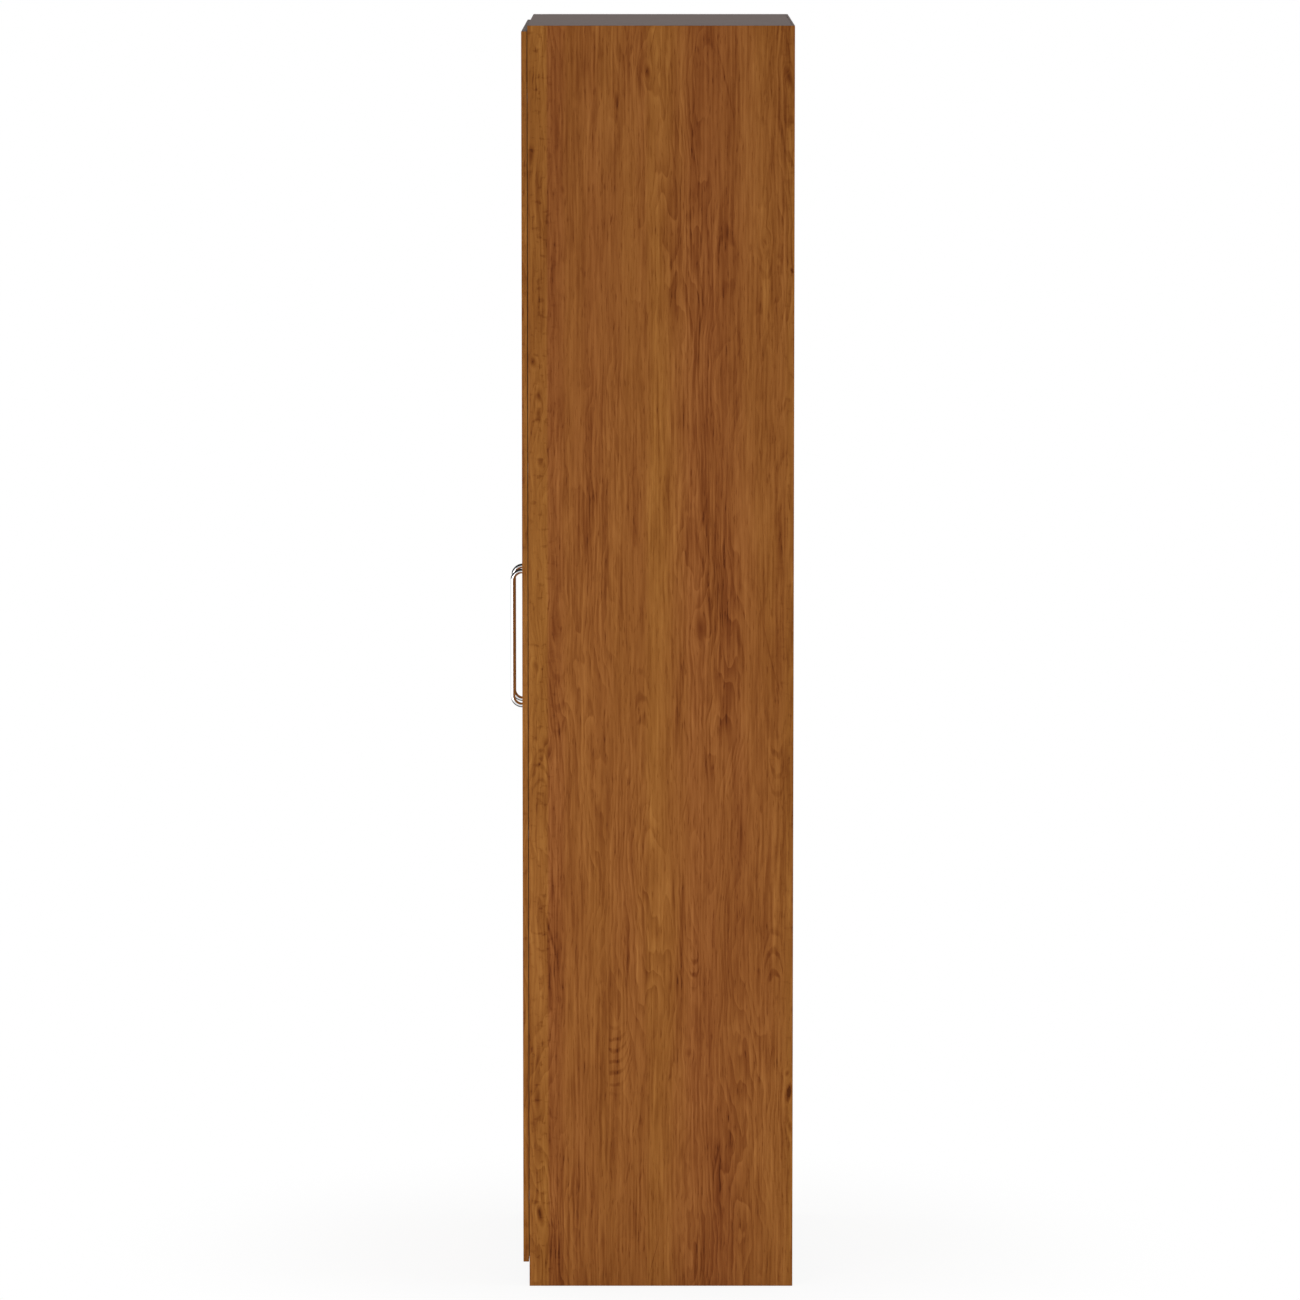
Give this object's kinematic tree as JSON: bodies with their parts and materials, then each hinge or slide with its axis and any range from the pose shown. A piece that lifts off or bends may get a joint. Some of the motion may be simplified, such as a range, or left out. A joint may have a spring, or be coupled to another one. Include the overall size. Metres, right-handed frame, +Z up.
{
  "type": "wardrobe",
  "caption": "Tall narrow wood-grain wardrobe with thin hinged doors on concealed hinges, bent bar handles, a hat shelf and a hanging rail inside.",
  "frame": {"origin": "on the floor, in the middle of the outline's width and of its depth with the handles", "axes": "+Z up, -Y towards the front, where the doors open, +X towards the right side panel as seen from the front"},
  "size_m": [0.645, 0.4738, 2.1],
  "materials": {
    "wood_laminate": "satin wood-grain laminate, grain upright",
    "grey_board": "plain grey-taupe laminate board, matt",
    "back_board": "thin fibreboard, matt",
    "chrome": "polished",
    "plated_steel": "nickel plated",
    "catch_plastic": "moulded, satin"
  },
  "bodies": {
    "carcass": {"left_side_panel": "wood_laminate", "right_side_panel": "wood_laminate", "top_panel": "grey_board", "bottom_panel": "grey_board", "back_panel": "back_board", "plinth_board": "wood_laminate", "hat_shelf": "grey_board", "left_front_shelf_pin": "plated_steel", "left_rear_shelf_pin": "plated_steel", "right_front_shelf_pin": "plated_steel", "right_rear_shelf_pin": "plated_steel", "hanging_rail": "chrome", "left_rail_socket": "plated_steel", "right_rail_socket": "plated_steel", "left_magnet_catch": "catch_plastic", "right_magnet_catch": "catch_plastic", "left_hinge_arm_1": "plated_steel", "left_hinge_arm_2": "plated_steel", "left_hinge_arm_3": "plated_steel", "left_hinge_arm_4": "plated_steel", "right_hinge_arm_1": "plated_steel", "right_hinge_arm_2": "plated_steel", "right_hinge_arm_3": "plated_steel", "right_hinge_arm_4": "plated_steel", "left_hinge_plate_1": "plated_steel", "left_hinge_plate_2": "plated_steel", "left_hinge_plate_3": "plated_steel", "left_hinge_plate_4": "plated_steel", "right_hinge_plate_1": "plated_steel", "right_hinge_plate_2": "plated_steel", "right_hinge_plate_3": "plated_steel", "right_hinge_plate_4": "plated_steel"},
    "left_door": {"left_door": "wood_laminate", "left_handle": "chrome", "left_lower_handle_screw": "plated_steel", "left_upper_handle_screw": "plated_steel", "left_strike_plate": "plated_steel", "left_hinge_cup_1": "plated_steel", "left_hinge_cup_2": "plated_steel", "left_hinge_cup_3": "plated_steel", "left_hinge_cup_4": "plated_steel", "left_hinge_pin_1": "plated_steel", "left_hinge_pin_2": "plated_steel", "left_hinge_pin_3": "plated_steel", "left_hinge_pin_4": "plated_steel"},
    "right_door": {"right_door": "wood_laminate", "right_handle": "chrome", "right_lower_handle_screw": "plated_steel", "right_upper_handle_screw": "plated_steel", "right_strike_plate": "plated_steel", "right_hinge_cup_1": "plated_steel", "right_hinge_cup_2": "plated_steel", "right_hinge_cup_3": "plated_steel", "right_hinge_cup_4": "plated_steel", "right_hinge_pin_1": "plated_steel", "right_hinge_pin_2": "plated_steel", "right_hinge_pin_3": "plated_steel", "right_hinge_pin_4": "plated_steel"}
  },
  "joints": [
    {"name": "left_door_hinge", "type": "hinge", "parent": "carcass", "child": "left_door", "pos_m": [-0.31877, -0.20875, 1.06625], "axis": [0, 0, -1], "range_deg": [0, 100]},
    {"name": "right_door_hinge", "type": "hinge", "parent": "carcass", "child": "right_door", "pos_m": [0.31877, -0.20875, 1.06625], "axis": [0, 0, 1], "range_deg": [0, 100]}
  ]
}
